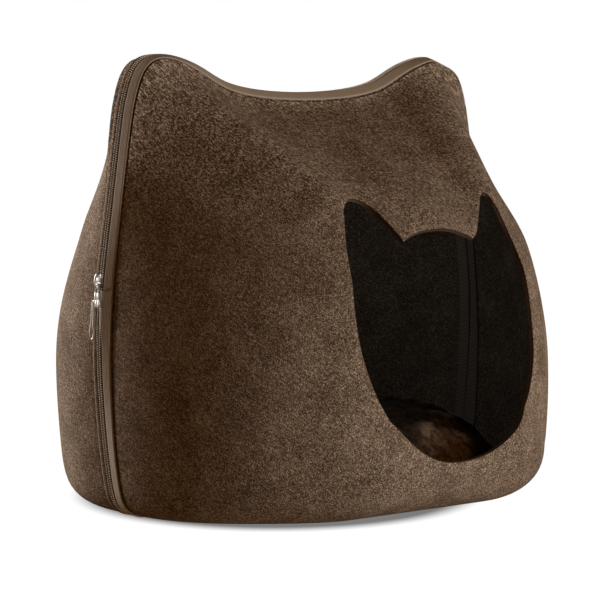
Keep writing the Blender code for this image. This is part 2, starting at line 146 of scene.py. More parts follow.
def whole_loop(half):
    """The right half with its mirror image after it."""
    return np.concatenate([half, half[-2:0:-1] * (-1, 1)])


zip_half = spline(whole_loop(np.array(list(ZIP_LINE.values()))), CURVE_STEPS, closed=True)
zip_half = zip_half[: len(zip_half) // 2 + 1]
zip_length = 2 * along_of(zip_half)[-1]
print("the zip is", round(float(zip_length), 3), "m long")

# %% [markdown]
# ## The felt's shape
#
# Moulded felt has one smooth face. It could be sculpted, but here ribs run over it, from the crease beside the zip
# to a point in the middle, the heart. One table says how each rib rises, by its direction from the heart, and one
# how far the felt beside the zip leans in. Between two rows the values run without a kink.

# %% How the felt leans and rises
FRONT, BACK = -1, 1
HEART = 0.150
BULGE = {FRONT: 0.2249, BACK: 0.1951}
EDGE = {FRONT: 0.0044, BACK: 0.0032}  # from the zip's middle to the felt's cut edge
RIM_WIDTH = 0.0121
RIM_FLOOR = 0.0022
LEAN = [  # direction, lean in front, lean behind, in degrees
    *((-90, 0, 0), (-60, 0, 0), (-25, -4, 0), (-4, 8, 0), (12, 17, 4)),
    *((34, 8, 10), (50, 12, 0), (57, 17, 8), (66, 42, 30), (90, 41, 38)),
]
RIBS = [  # direction, roundness and steepness in front, the same behind
    *((-90, 6.61, 0.253, 6.61, 0.253), (-60, 6.65, 0.258, 6.65, 0.258), (-30, 2.37, 0.482, 2.35, 0.478)),
    *((0, 2.35, 0.547, 2.40, 0.547), (30, 2.69, 0.910, 2.41, 0.819), (54, 2.59, 1.756, 3.20, 1.640)),
    *((72, 2.86, 1.406, 3.40, 0.965), (90, 3.31, 1.436, 2.92, 0.689)),
]
DOME = (2.3, 0.55)
DOME_REACH = 0.7


def table_value(table, direction, column):
    """A column of a table between its rows, with no kinks."""
    rows = np.array(table, float)
    angles, values = np.radians(rows[:, 0]), rows[:, column]
    rises = np.diff(values) / np.diff(angles)
    before, after = rises[:-1], rises[1:]
    turning = before * after <= 0
    slopes = np.zeros(len(values))
    slopes[1:-1] = np.where(turning, 0, 2 * before * after / np.where(turning, 1, before + after))
    row = np.clip(np.searchsorted(angles, direction) - 1, 0, len(values) - 2)
    span = angles[row + 1] - angles[row]
    t = np.clip((direction - angles[row]) / span, 0, 1)
    low = values[row] * (1 + 2 * t) * (1 - t) ** 2 + slopes[row] * span * t * (1 - t) ** 2
    return low + values[row + 1] * t * t * (3 - 2 * t) + slopes[row + 1] * span * t * t * (t - 1)


def unit(vectors):
    return vectors / np.linalg.norm(vectors, axis=-1, keepdims=True)


def outward(line, closed=True):
    """Unit normals of a line in the zip's plane, pointing away from the cave."""
    step = np.roll(line, -1, axis=0) - np.roll(line, 1, axis=0) if closed else np.gradient(line, axis=0)
    step = unit(step)
    return np.stack([-step[:, 1], step[:, 0]], axis=1)


def lean(line, side):
    direction = np.arctan2(line[:, 1] - HEART, np.abs(line[:, 0]))
    return np.radians(table_value(LEAN, direction, 1 if side == FRONT else 2))


def crease(line, side, closed=True):
    """Where the felt's face begins beside the zip, and how far from the zip's plane."""
    tilt = lean(line, side)
    return line - outward(line, closed) * (RIM_WIDTH * np.sin(tilt))[:, None], EDGE[side] + RIM_WIDTH * np.cos(tilt)


creases = {side: crease(zip_half, side, closed=False) for side in (FRONT, BACK)}


def felt_depth(x, z, side):
    """How far the felt's outer face lies from the zip's plane."""
    line, depths = creases[side]
    directions = np.arctan2(line[::-1, 1] - HEART, line[::-1, 0])
    reaches = np.hypot(line[::-1, 0], line[::-1, 1] - HEART)
    direction = np.arctan2(z - HEART, np.abs(x))
    rim = np.interp(direction, directions, depths[::-1])
    distance = np.clip(np.hypot(x, z - HEART) / np.interp(direction, directions, reaches), 0, 1)
    first = 1 if side == FRONT else 3
    roundness, steepness = table_value(RIBS, direction, first), table_value(RIBS, direction, first + 1)
    if side == BACK:
        near = np.clip(distance / DOME_REACH, 0, 1) ** 2
        roundness = DOME[0] + (roundness - DOME[0]) * near
        steepness = DOME[1] + (steepness - DOME[1]) * near
    return rim + (BULGE[side] - rim) * (1 - distance**roundness) ** steepness


# %% [markdown]
# ## The doorway's line
#
# The doorway is a cat's head: a round crown between two ears, cheeks, and a chin that ends at the sill. One half
# could be mirrored, but it was cut by hand: the tips are round, and the left ear is the fuller. So each half has
# points of its own, and both share the crown.

# %% The doorway's line
CROWN_MIDDLE, CROWN_RADIUS, CROWN_END = (-0.0045, 0.1645), 0.098, radians(63.3)
RIGHT_EAR = (
    (0.0491, 0.2577), (0.0539, 0.2624), (0.0586, 0.2670), (0.0633, 0.2717), (0.0681, 0.2763), (0.0782, 0.2857),
)
RIGHT_TIP = ((0.0836, 0.2898), (0.0897, 0.2916), (0.0942, 0.2892), (0.0961, 0.2830))
RIGHT_CHEEK = (
    (0.1010, 0.2700), (0.1050, 0.2560), (0.1056, 0.2300), (0.1046, 0.2050), (0.1065, 0.1800), (0.1088, 0.1500),
    (0.1045, 0.1250), (0.0945, 0.1030), (0.0780, 0.0850), (0.0560, 0.0695), (0.0300, 0.0582), (-0.0045, 0.0538),
)
LEFT_EAR = (
    (0.0504, 0.2594), (0.0528, 0.2657), (0.0552, 0.2721), (0.0581, 0.2785), (0.0621, 0.2840), (0.0675, 0.2879),
)
LEFT_TIP = ((0.0738, 0.2901), (0.0805, 0.2904), (0.0869, 0.2887), (0.0924, 0.2848), (0.0965, 0.2786))
LEFT_CHEEK = (
    (0.1029, 0.2542), (0.1087, 0.2296), (0.1118, 0.2047), (0.1116, 0.1796), (0.1080, 0.1543), (0.1008, 0.1295),
    (0.0899, 0.1064), (0.0754, 0.0861), (0.0569, 0.0699), (0.0346, 0.0588), (0.0045, 0.0538),
)
STATIONS = 480
CROWN_SHARE, EAR_SHARE, TIP_SHARE = 16, 14, 12  # few, so that no rib of felt crosses another
EAR_STEPS, SIDE_STEPS = 20, 40
FELT_CLOSER, STRIP_CLOSER = 0.05, 0.03  # how much closer points lie where a line turns


def door_half(middle, ear, tip, cheek):
    """Half of the doorway, from the top of the crown to the middle of the sill."""
    turns = np.linspace(pi / 2, CROWN_END, CROWN_SHARE + 1)
    crown = np.array([(CROWN_RADIUS * cos(a), CROWN_MIDDLE[1] + CROWN_RADIUS * sin(a)) for a in turns])
    ear, tip, cheek = (np.array(points) - (middle, 0) for points in (ear, tip, cheek))
    ear_edge = evenly(spline([crown[-1], *ear], EAR_STEPS, closed=False), EAR_SHARE + 1)[1:]
    ear_tip = evenly(spline([ear[-1], *tip], EAR_STEPS, closed=False), TIP_SHARE + 1)[1:]
    side = np.array([tip[-1], *cheek])
    curve = spline(np.concatenate([side, side[-2::-1] * (-1, 1)]), SIDE_STEPS, closed=False)
    left_over = STATIONS // 2 - CROWN_SHARE - EAR_SHARE - TIP_SHARE
    side_line = evenly(curve[: len(curve) // 2 + 1], left_over + 1)[1:]
    return np.concatenate([crown, ear_edge, ear_tip, side_line]) + (middle, 0)


right_half = door_half(CROWN_MIDDLE[0], RIGHT_EAR, RIGHT_TIP, RIGHT_CHEEK)
left_half = door_half(-CROWN_MIDDLE[0], LEFT_EAR, LEFT_TIP, LEFT_CHEEK)
door_line = np.concatenate([right_half, left_half[-2:0:-1] * (-1, 1)])
zip_line = whole_loop(evenly(zip_half, STATIONS // 2 + 1, FELT_CLOSER))
print("stations round the zip and the doorway:", len(zip_line), len(door_line))

# %% [markdown]
# ## Drawing felt out of a ring
#
# A maker presses felt over a form. Here a ring of vertices is set on one line and its edges are extruded again
# and again, each time onto the next row. This keeps every row in order, and one operator makes all the faces.

# %% Rings that are drawn out row by row
def ring(made, row):
    """A closed loop of vertices on the points of a row."""
    loop = bmesh.ops.create_circle(made, segments=len(row), radius=1)["verts"]
    for vert, point in zip(loop, row):
        vert.co = point
    return loop


def edges_of(made, loop):
    return [made.edges.get(pair) for pair in zip(loop, loop[1:] + loop[:1])]


def draw_out(made, loop, row):
    """Extrudes a loop onto the next row and returns the new loop in the same order."""
    grown = bmesh.ops.extrude_edge_only(made, edges=edges_of(made, loop))["geom"]
    grown = {part for part in grown if isinstance(part, bmesh.types.BMVert)}
    new = [next(e.other_vert(v) for e in v.link_edges if e.other_vert(v) in grown) for v in loop]
    for vert, point in zip(new, row):
        vert.co = point
    return new


def draw_rows(made, rows, marks=(), closed=True):
    """Draws a ring out over all the rows. Each mark is (name, one row of values for each row)."""
    layers = [made.verts.layers.float.new(name) for name, _ in marks]
    loops = [ring(made, rows[0])]
    for row in rows[1:]:
        loops.append(draw_out(made, loops[-1], row))
    for layer, (_, values) in zip(layers, marks):
        for loop, numbers in zip(loops, values):
            for vert, number in zip(loop, numbers):
                vert[layer] = number
    if closed:
        bmesh.ops.bridge_loops(made, edges=edges_of(made, loops[0]) + edges_of(made, loops[-1]))
    return loops


# %% [markdown]
# ## From a bmesh to a piece
#
# Every piece ends the same way: its faces turn outward, and it becomes an object that rides on the cave and stands
# for its solids. The right ear has sunk from use. A lattice could pull it down, but one small formula moves the
# points of every piece alike, so nothing comes apart.

# %% The sag of the ear, and a piece that rides
SAG, SAG_MIDDLE, SAG_WIDTH = 0.0055, 0.186, 0.024
SAG_HEIGHTS, SAG_DEPTHS = (0.36, 0.405), (-0.05, -0.005)


def ramp(value, low, high):
    t = min(1, max(0, (value - low) / (high - low)))
    return t * t * (3 - 2 * t)


def settle(made):
    """Lets the right ear sink along the zip, and everything on it with it."""
    for vert in made.verts:
        near = max(0, 1 - ((vert.co.x - SAG_MIDDLE) / SAG_WIDTH) ** 2) ** 2
        vert.co.z -= SAG * near * ramp(vert.co.z, *SAG_HEIGHTS) * ramp(vert.co.y, *SAG_DEPTHS)


def mesh_of(name, made):
    mesh = bpy.data.meshes.new(name)
    made.to_mesh(mesh)
    made.free()
    return mesh


def add_piece(name, made, finish, slot, *replaced, smooth_under=40):
    """Turns a bmesh into a piece that rides on the cave and stands for its solids."""
    settle(made)
    bmesh.ops.recalc_face_normals(made, faces=made.faces)
    mesh = mesh_of(name, made)
    mesh.materials.append(finish)
    mesh.shade_smooth()
    mesh.set_sharp_from_angle(angle=radians(smooth_under))
    piece = add_object(name, mesh)
    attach(piece, "root")
    if replaced:
        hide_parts(*replaced)
    print(name, len(mesh.polygons), "faces")
    return piece


# %% [markdown]
# ## Shader maths in plain Python
#
# A finish is a small sum of noises. Wired by hand that is a lot of Math nodes, so a class wraps a socket and
# lets + - * build them. A second class holds one material and makes any other node by its type.

# %% A socket that can be added and multiplied
class Wire:
    def __init__(self, finish, socket):
        self.finish, self.socket = finish, socket

    def __add__(self, other):
        return self.finish.maths("ADD", self, other)

    def __sub__(self, other):
        return self.finish.maths("SUBTRACT", self, other)

    def __rsub__(self, other):
        return self.finish.maths("SUBTRACT", other, self)

    def __mul__(self, other):
        return self.finish.maths("MULTIPLY", self, other)

    __radd__, __rmul__ = __add__, __mul__

    def between(self, low, high, start=0.0, end=1.0):
        """0 to 1 as this value goes smoothly from low to high, or start to end."""
        sockets = {"Value": self, "From Min": low, "From Max": high, "To Min": start, "To Max": end}
        return self.finish.node("MapRange", sockets, interpolation_type="SMOOTHSTEP")


# %% A finish and the nodes that shape it
class Finish:
    def __init__(self, name, **constants):
        self.material = bpy.data.materials.new(name)
        self.material.use_nodes = True
        self.tree = self.material.node_tree
        self.shader = self.tree.nodes["Principled BSDF"]
        for socket, value in constants.items():
            self.shader.inputs[socket.replace("_", " ")].default_value = value

    def node(self, kind, sockets, output=0, **settings):
        """Adds any shader node: its settings first, then the values or wires of its sockets."""
        made = self.tree.nodes.new("ShaderNode" + kind)
        for name, value in settings.items():
            setattr(made, name, value)
        for name, value in sockets.items():
            if isinstance(value, Wire):
                self.tree.links.new(value.socket, made.inputs[name])
            else:
                made.inputs[name].default_value = value
        return Wire(self, made.outputs[output])

    def maths(self, operation, *values):
        return self.node("Math", dict(enumerate(values)), operation=operation)

    def place(self, turn=(0, 0, 0), stretch=(1, 1, 1)):
        """Object coordinates, turned and stretched."""
        sockets = {"Vector": self.node("TexCoord", {}, 3), "Rotation": turn}
        turned = self.node("Mapping", sockets, vector_type="POINT")
        return self.node("VectorMath", {0: turned, 1: stretch}, operation="MULTIPLY")

    def axis(self, number, turn=(0, 0, 0)):
        """One of the turned Object coordinates."""
        return self.node("SeparateXYZ", {0: self.place(turn)}, number)

    def noise(self, scale, detail=2.0, roughness=0.5, place=None, distortion=0.0):
        sockets = {"Vector": place or self.place(), "Scale": scale, "Detail": detail}
        sockets.update({"Roughness": roughness, "Distortion": distortion})
        return self.node("TexNoise", sockets)

    def mark(self, name):
        """A number that the piece's own vertices carry."""
        return self.node("Attribute", {}, 2, attribute_name=name)

    def blend(self, share, first, second):
        """From the first colour to the second as share goes from 0 to 1."""
        return self.node("Mix", {0: share, 6: first, 7: second}, 2, data_type="RGBA")

    def set(self, socket, wire):
        self.tree.links.new(wire.socket, self.shader.inputs[socket])

    def bump(self, height, distance, strength=1.0):
        sockets = {"Height": height, "Distance": distance, "Strength": strength}
        self.set("Normal", self.node("Bump", sockets))


# %% [markdown]
# ## The felt's finish
#
# Felt of mixed fibres: light and dark ones cross at every angle over a brown ground, and the whole is a little
# cloudy. High up, where it was drawn over the form, they lie along the slope. Hair could be grown, but felt is
# pressed flat, so each family of fibres is a noise that is stretched along one direction. Marks on the mesh paint
# shade into the groove, along the cut edges and inside, and a highlight along an edge of the back's edging.

# %% Felt
DARK_FIBRE = (0.034, 0.020, 0.011, 1)
GROUND = (0.108, 0.076, 0.052, 1)
LIGHT_FIBRE = (0.330, 0.257, 0.200, 1)
CUT_FELT = (0.062, 0.038, 0.022, 1)
SHADED = (0.012, 0.007, 0.004, 1)
FIBRE_TURNS = ((0.3, 0.9, 0.2), (1.1, 0.1, 0.8), (0.2, -0.8, 0.5), (0.9, 0.6, -0.9))
DRAWN_TURN, DRAWN_FIBRE = (0, 0.8, 0), (700, 520, 90)
FIBRES = ((1150, 1150, 210), (760, 760, 150)) * 2
GRAIN, FLECK, CLOUD = 1150, 330, 30  # scales of the noises, from fine to coarse
FIBRE_SHARE, GRAIN_SHARE, CLOUD_SHARE, FLECK_SHARE, DRAWN_SHARE = 0.50, 0.74, 0.24, 0.20, 0.9
DRAWN_HEIGHTS = (0.23, 0.33)  # the felt is drawn over the form from here up
DARK_TO_GROUND, GROUND_TO_LIGHT = (-0.14, 0.0), (0.01, 0.20)
PAINTED_HIGHLIGHT_SHARE = 0.6


def felt_finish(name, contrast=1.0):
    """Fibres over a brown ground, with marks for painted shade, for bare felt at the cut and for a painted
    highlight.
    """
    felt = Finish(name, Roughness=0.95, Specular_IOR_Level=0.05)
    places = [felt.place(turn, fibre) for turn, fibre in zip(FIBRE_TURNS, FIBRES)]
    strands = [felt.noise(1.0, 1.5, 0.6, place) for place in places]
    over, under = strands[0], strands[0]
    for strand in strands[1:]:
        over, under = felt.maths("MAXIMUM", over, strand), felt.maths("MINIMUM", under, strand)
    grain, cloud, fleck = felt.noise(GRAIN, 1.0), felt.noise(CLOUD, 4.0, 0.62), felt.noise(FLECK, 2.0, 0.6)
    value = (over + under - 1.0) * FIBRE_SHARE + (grain - 0.5) * GRAIN_SHARE
    value = value + (cloud - 0.5) * CLOUD_SHARE + (fleck - 0.5) * FLECK_SHARE
    drawn = felt.noise(1.0, 2.0, 0.6, felt.place(DRAWN_TURN, DRAWN_FIBRE))
    value = (value + (drawn - 0.5) * felt.axis(2).between(*DRAWN_HEIGHTS) * DRAWN_SHARE) * contrast
    darker = felt.blend(value.between(*DARK_TO_GROUND), DARK_FIBRE, GROUND)
    mixed = felt.blend(value.between(*GROUND_TO_LIGHT), darker, LIGHT_FIBRE)
    # Painted highlight: lighter fibres where light catches the rounded edge of the back's edging.
    mixed = felt.blend(felt.mark("wear_and_highlight") * PAINTED_HIGHLIGHT_SHARE, mixed, LIGHT_FIBRE)
    mixed = felt.blend(felt.mark("cut"), mixed, CUT_FELT)
    felt.set("Base Color", felt.blend(felt.mark("painted_shade"), mixed, SHADED))
    felt.bump((over + under) * 0.5 + grain * 0.3 + fleck * 0.5, 0.0009, 0.75)
    return felt.material


felt = felt_finish("moulded_felt")

# %% [markdown]
# ## The two felt shells
#
# Each shell is one piece of felt, 5 mm thick. Solidify could thicken a face, but the cut edges need a shape of
# their own. So its rows start at the doorway (or close to the heart, behind), run to the crease, along the rim
# to the cut edge at the zip, round it and all the way back inside. The seam presses a groove beyond the band,
# and the felt is pressed thinner at the doorway.

# %% Rows beside the zip
FELT = 0.005
SOFT = 0.0009  # how far the cut edges are rounded
FACE_ROWS = {FRONT: 30, BACK: 34}
GROOVE = ((0.0101, 0.0), (0.0105, -0.0009), (0.0111, -0.0006))
BACK_GROOVE = ((0.0054, 0.0), (0.0064, -0.0002), (0.0076, 0.0))
THIN_EDGE, THIN_ROWS = 0.0042, 4
# Painted shade in the groove beyond each band, and over the felt inside the shell.
GROOVE_SHADE = {FRONT: (0.2, 0.9, 0.2), BACK: (0.0, 0.15, 0.0)}
INSIDE_SHADE = 0.5
POLE_RING = 0.02
RIB_STEPS, SLOPE_STEP = 500, 0.0005
RIM_INSIDE = 0.004
NEAR_DOOR = 10  # rows whose normals come from the slope


def over_floor(line):
    return np.stack([line[:, 0], np.maximum(line[:, 1], RIM_FLOOR)], axis=1)


def in_space(line, depth):
    """A line in the zip's plane, moved to its depth."""
    return np.stack([line[:, 0], np.broadcast_to(depth, len(line)), line[:, 1]], axis=1)


def rim_row(line, side, across, height):
    """A row beside the zip: distance from the felt's cut edge, and height over the felt."""
    tilt, low = lean(line, side), over_floor(line)
    inward = across * np.sin(tilt) - height / np.cos(tilt)
    flat = low - outward(low) * np.reshape(inward, (-1, 1))
    return in_space(flat, ZIP_PLANE + side * (EDGE[side] + across * np.cos(tilt)))


def felt_face(side):
    """The felt's outer face as rows, from the crease to the doorway in front or close to the heart."""
    steps = np.linspace(0, 1, RIB_STEPS) ** 2
    heart = np.array([0, HEART])
    ends = door_line if side == FRONT else heart + (zip_line - heart) * POLE_RING
    ribs = []
    starts, rims = crease(zip_line, side)
    for start, end, rim in zip(starts, ends, rims):
        place = start + (end - start) * steps[:, None]
        depth = felt_depth(place[:, 0], place[:, 1], side)
        depth[0] = rim
        place[:, 1] = np.maximum(place[:, 1], 0)
        ribs.append(evenly(in_space(place, ZIP_PLANE + side * depth), FACE_ROWS[side] + 1, FELT_CLOSER))
    return np.array(ribs).transpose(1, 0, 2)


def face_normals(face):
    across = np.roll(face, -1, axis=1) - np.roll(face, 1, axis=1)
    normals = unit(np.cross(np.gradient(face, axis=0), across))
    return normals * np.sign(((face - np.array([0, 0, HEART])) * normals).sum(axis=2).mean())


def slope_normals(rows, side):
    """Unit normals from the slope of the face itself, for rows that run close to a cut."""
    x, z, step = rows[..., 0].ravel(), rows[..., 2].ravel(), SLOPE_STEP
    over_x = (felt_depth(x + step, z, side) - felt_depth(x - step, z, side)) / (2 * step)
    over_z = (felt_depth(x, z + step, side) - felt_depth(x, z - step, side)) / (2 * step)
    return unit(np.stack([-over_x, np.full(len(x), side), -over_z], axis=1)).reshape(rows.shape)


faces = {side: felt_face(side) for side in (FRONT, BACK)}
face_out = {side: face_normals(faces[side]) for side in (FRONT, BACK)}
face_out[FRONT][-NEAR_DOOR:] = slope_normals(faces[FRONT][-NEAR_DOOR:], FRONT)


def rim_out(side):
    """Unit normals of the straight rim beside the zip."""
    return unit(rim_row(zip_line, side, 0.0, 0.01) - rim_row(zip_line, side, 0.0, 0.0))


# %% One shell
def felt_shell(name, side, groove, replaced):
    face, normals, beside = faces[side], face_out[side], rim_out(side)
    mitre = (beside + normals[0]) / (1 + (beside * normals[0]).sum(axis=1))[:, None]
    thick = np.full(len(face), FELT)
    if side == FRONT:
        thick[-THIN_ROWS:] = np.linspace(FELT, THIN_EDGE, THIN_ROWS + 1)[1:]
    rim = [rim_row(zip_line, side, a, h) for a, h in groove[::-1]]
    rim += [rim_row(zip_line, side, a, h) for a, h in ((0.0, 0.0), (0.0, -FELT), (RIM_INSIDE, -FELT))]
    inside = [face[0] - mitre * FELT, *(face[1:-1] - normals[1:-1] * thick[1:-1, None, None])]
    edge, inner, outside = face[-1], normals[-1], face[-2::-1]
    towards = np.cross(np.roll(edge, -1, axis=0) - np.roll(edge, 1, axis=0), inner)
    towards = unit(towards * np.sign((towards * (edge - face[-2])).sum(axis=1).mean()))
    lip = [  # place, painted shade, cut
        (edge - inner * THIN_EDGE - towards * SOFT, 0.6, 0.0),
        (edge - inner * (THIN_EDGE - SOFT * 0.6), 0.3, 0.6),
        (edge - inner * (THIN_EDGE - SOFT * 0.9), 0.0, 1.0),
        (edge - inner * THIN_EDGE * 0.5, 0.1, 1.0),
        (edge - inner * SOFT, 0.9, 0.5),
        (edge - inner * SOFT * 0.6, 0.8, 0.3),
        (edge - towards * SOFT * 0.3 - inner * SOFT * 0.3, 0.5, 0.0),
        (edge - towards * SOFT, 0.0, 0.0),
    ]
    rows = [*outside, *rim, *inside]
    # Painted shade in the groove, on the inside and along the corners of the doorway's lip.
    painted_shade = [0.0] * len(outside) + list(GROOVE_SHADE[side]) + [0.0] * 2
    painted_shade += [INSIDE_SHADE] * (len(rows) - len(painted_shade))
    cut = [0.0] * len(rows)
    if side == FRONT:
        rows += [place for place, _, _ in lip]
        painted_shade += [shade for _, shade, _ in lip]
        cut += [bare for _, _, bare in lip]
    named = {"painted_shade": painted_shade, "cut": cut}
    marks = [(mark, [np.full(STATIONS, value) for value in values]) for mark, values in named.items()]
    made = bmesh.new()
    loops = draw_rows(made, rows, marks, closed=side == FRONT)
    if side == BACK:
        for loop in (loops[0], loops[-1]):
            bmesh.ops.edgeloop_fill(made, edges=edges_of(made, loop))
    return add_piece(name, made, felt, "felt", replaced, smooth_under=60)


front_felt = felt_shell("front_felt", FRONT, GROOVE, "front_shell")
back_felt = felt_shell("back_felt", BACK, BACK_GROOVE, "back_shell")

# %% [markdown]
# ## Bands and tapes
#
# A smooth woven band is sewn over the front felt's edge, a narrow one over the back felt's, and a zip tape lies
# inside along each. A bevelled curve would twist at the ears, so they are strips with a small section, drawn out
# round the zip. Two marks, along the zip and across the strip, carry the weave round every bend.

# %% Woven finishes
STREAK_ALONG, STREAK_ACROSS, WEAR = 40, 2200, 120  # scales of the noises
RELIEF = 0.00025


def woven_finish(name, colour, shade, ribs, pitch):
    """Long ribs along the band with a fine weft across them."""
    woven = Finish(name, Roughness=0.78, Specular_IOR_Level=0.3)
    along, across = woven.mark("along"), woven.mark("across")
    rib = woven.maths("SINE", across * (2 * pi / ribs))
    weft = woven.maths("SINE", along * (2 * pi / pitch))
    wear_and_highlight = woven.noise(WEAR, 3.0, 0.6)
    streak = woven.node("CombineXYZ", {0: along * STREAK_ALONG, 1: across * STREAK_ACROSS})
    streak = woven.noise(1.0, 2.0, 0.5, streak)
    value = streak * 0.7 + wear_and_highlight * 0.3 + rib * 0.05 + weft * 0.06
    woven.set("Base Color", woven.blend(value.between(0.3, 0.7), shade, colour))
    woven.bump(rib * 0.5 + weft * 0.5 + streak, RELIEF, 0.6)
    return woven.material


band_cloth = woven_finish("woven_band", (0.252, 0.198, 0.148, 1), (0.205, 0.160, 0.118, 1), 0.0016, 0.0007)
tape_cloth = woven_finish("zip_tape", (0.085, 0.062, 0.046, 1), (0.045, 0.031, 0.022, 1), 0.0011, 0.0009)
# Near black: painted shade for the recess beside the coil, and for the dark line over the band's fold.
shaded_web_cloth = woven_finish("zip_web_painted_shade", (0.026, 0.018, 0.012, 1), (0.010, 0.007, 0.004, 1), 0.0011, 0.0009)
edge_felt = felt_finish("felt_edging", 0.85)

# %% Strips round the zip
STRIP_STEPS = 240
strip_line = whole_loop(evenly(zip_half, STRIP_STEPS + 1, STRIP_CLOSER))
strip_line = np.roll(strip_line, -STRIP_STEPS, axis=0)  # the marks start under the base


def weave_marks(line, section):
    """How far each vertex of a strip is along the zip and across the strip."""
    across = [np.full(len(line), place) for place, _ in section]
    return [("along", [along_of(line)] * len(section)), ("across", across)]


def strip(name, side, section, finish, slot, replaced, line=strip_line, wear_and_highlight=None):
    """A closed strip round the zip, with its section given as (distance from the felt's edge, height)."""
    rows = [rim_row(line, side, across, height) for across, height in section]
    marks = weave_marks(line, section)
    if wear_and_highlight:
        marks.append(("wear_and_highlight", [np.full(len(line), w) for w in wear_and_highlight]))
    made = bmesh.new()
    draw_rows(made, rows, marks)
    return add_piece(name, made, finish, slot, replaced, smooth_under=50)


BAND_NEAR, BAND_FAR, BAND_THICK, BAND_LOW = 0.0003, 0.0100, 0.0012, 0.0003
HALF_BAND = ((0, 0), (0, 0.55), (0.4, 0.88), (1, 1), (2, 1.02), (3, 1.03))  # in edge widths, in thicknesses
BAND_EDGE = BAND_THICK * 0.45


def band_section():
    """A folded band: flat on top, rounded at both edges."""
    half = [(BAND_EDGE * across, BAND_LOW + BAND_THICK * up) for across, up in HALF_BAND]
    return [(BAND_NEAR + a, height) for a, height in half] + [(BAND_FAR - a, height) for a, height in half[::-1]]


front_band = strip("front_band", FRONT, band_section(), band_cloth, "woven_band", "front_binding")

# %% The edging of the back shell
EDGING = [  # distance from the felt's edge, height, painted highlight
    *((0.0001, 0.0002, 0.0), (0.0001, 0.0010, 0.1), (0.0005, 0.0014, 0.2)),
    *((0.0014, 0.0015, 0.0), (0.0034, 0.0015, 0.0), (0.0042, 0.0015, 0.9)),
    *((0.0048, 0.0013, 0.5), (0.0054, 0.0006, 0.0), (0.0058, -0.0001, 0.0)),
]
edging = [(across, height) for across, height, _ in EDGING]
# The last column is a painted highlight along the edging's rounded edges.
wear_and_highlight = [value for _, _, value in EDGING]
back_band = strip("back_band", BACK, edging, edge_felt, "woven_band", "back_binding", wear_and_highlight=wear_and_highlight)

# %% Zip tapes inside
TAPE_TOP, TAPE_BOTTOM, TAPE_WIDTH, TAPE_MARGIN = -0.0053, -0.0063, 0.0108, 0.0014
TAPE_START = 0.0002  # from the zip's middle, so the two tapes meet under the coil


def tape_reach(side):
    """How far a tape can run from the felt's cut edge before the felt turns inward."""
    beside = rim_out(side)
    inward = np.sign(((face_out[side][0] - beside) * (0, side, 0)).sum(axis=1))
    half_turn = np.arccos(np.clip((beside * face_out[side][0]).sum(axis=1), -1, 1)) / 2
    lost = -TAPE_BOTTOM * (np.tan(half_turn) * inward + np.tan(lean(zip_line, side)))
    free = np.minimum(TAPE_WIDTH, RIM_WIDTH - lost - TAPE_MARGIN)
    return np.stack([np.roll(free, 1), free, np.roll(free, -1)]).min(axis=0)


reaches = {side: tape_reach(side) for side in (FRONT, BACK)}


def tape(name, side, replaced):
    reach = reaches[side]
    near = TAPE_START - EDGE[side]
    section = [(near, TAPE_TOP), (reach, TAPE_TOP), (reach, TAPE_BOTTOM), (near, TAPE_BOTTOM)]
    return strip(name, side, section, tape_cloth, "zip_tape", replaced, line=zip_line)


front_tape = tape("front_tape", FRONT, "front_zip_tape")
back_tape = tape("back_tape", BACK, "back_zip_tape")

# %% [markdown]
# ## The zip's chain
#
# A coil zip closes with two nylon coils that are sewn on a web. From outside each turn of a coil is a small bar,
# in two rows with the web between them, coloured near black as painted shade in the recess between the bands. A
# spiral would be truer, but most of it is hidden. There are about 1600 bars, so each is only a cube, and one bevel
# rounds them all at the end.

# %% The web under the coil
WEB = ((0.0041, -0.0022), (0.0041, -0.0010), (0.0023, -0.0008))  # distance to the front, height
WEB += ((-0.0023, -0.0008), (-0.0029, -0.0010), (-0.0029, -0.0022))


def chain_row(forward, height):
    low = over_floor(strip_line)
    return in_space(low + outward(low) * height, ZIP_PLANE - forward)


made = bmesh.new()
draw_rows(made, [chain_row(*place) for place in WEB], weave_marks(strip_line, WEB))
add_piece("chain_web", made, shaded_web_cloth, "zip_tape", "zip_chain")

# %% The coil's bars
PITCH = 0.0021
BAR = (0.0021, 0.00115, 0.0014)  # across the zip, along it, out of it
TO_FRONT = Vector((0, -1, 0))
BAR_ASIDE, BAR_HEIGHT, BAR_SLANT, BAR_ROUNDING = 0.00165, 0.00075, radians(9), 0.0004

coil = Finish("coil_nylon", Roughness=0.55, Specular_IOR_Level=0.3)
coil.set("Base Color", coil.blend(coil.noise(700, 2.0), (0.26, 0.200, 0.150, 1), (0.50, 0.410, 0.320, 1)))
coil.bump(coil.noise(2500, 1.0), 0.00005, 0.4)


def round_all(made, width, segments=2):
    edges = made.edges[:]
    bmesh.ops.bevel(made, geom=edges, offset=width, segments=segments, profile=0.5, affect="EDGES", material=-1)


def spaced(line, pitch):
    """Points round a closed line, about one pitch apart."""
    return evenly(np.concatenate([line, line[:1]]), round(zip_length / pitch) + 1)[:-1]


def frame_on(place, across, up):
    """A place with +X across, and +Z up."""
    turn = Matrix((across, up.cross(across), up)).transposed()
    return Matrix.Translation(place) @ turn.to_4x4()


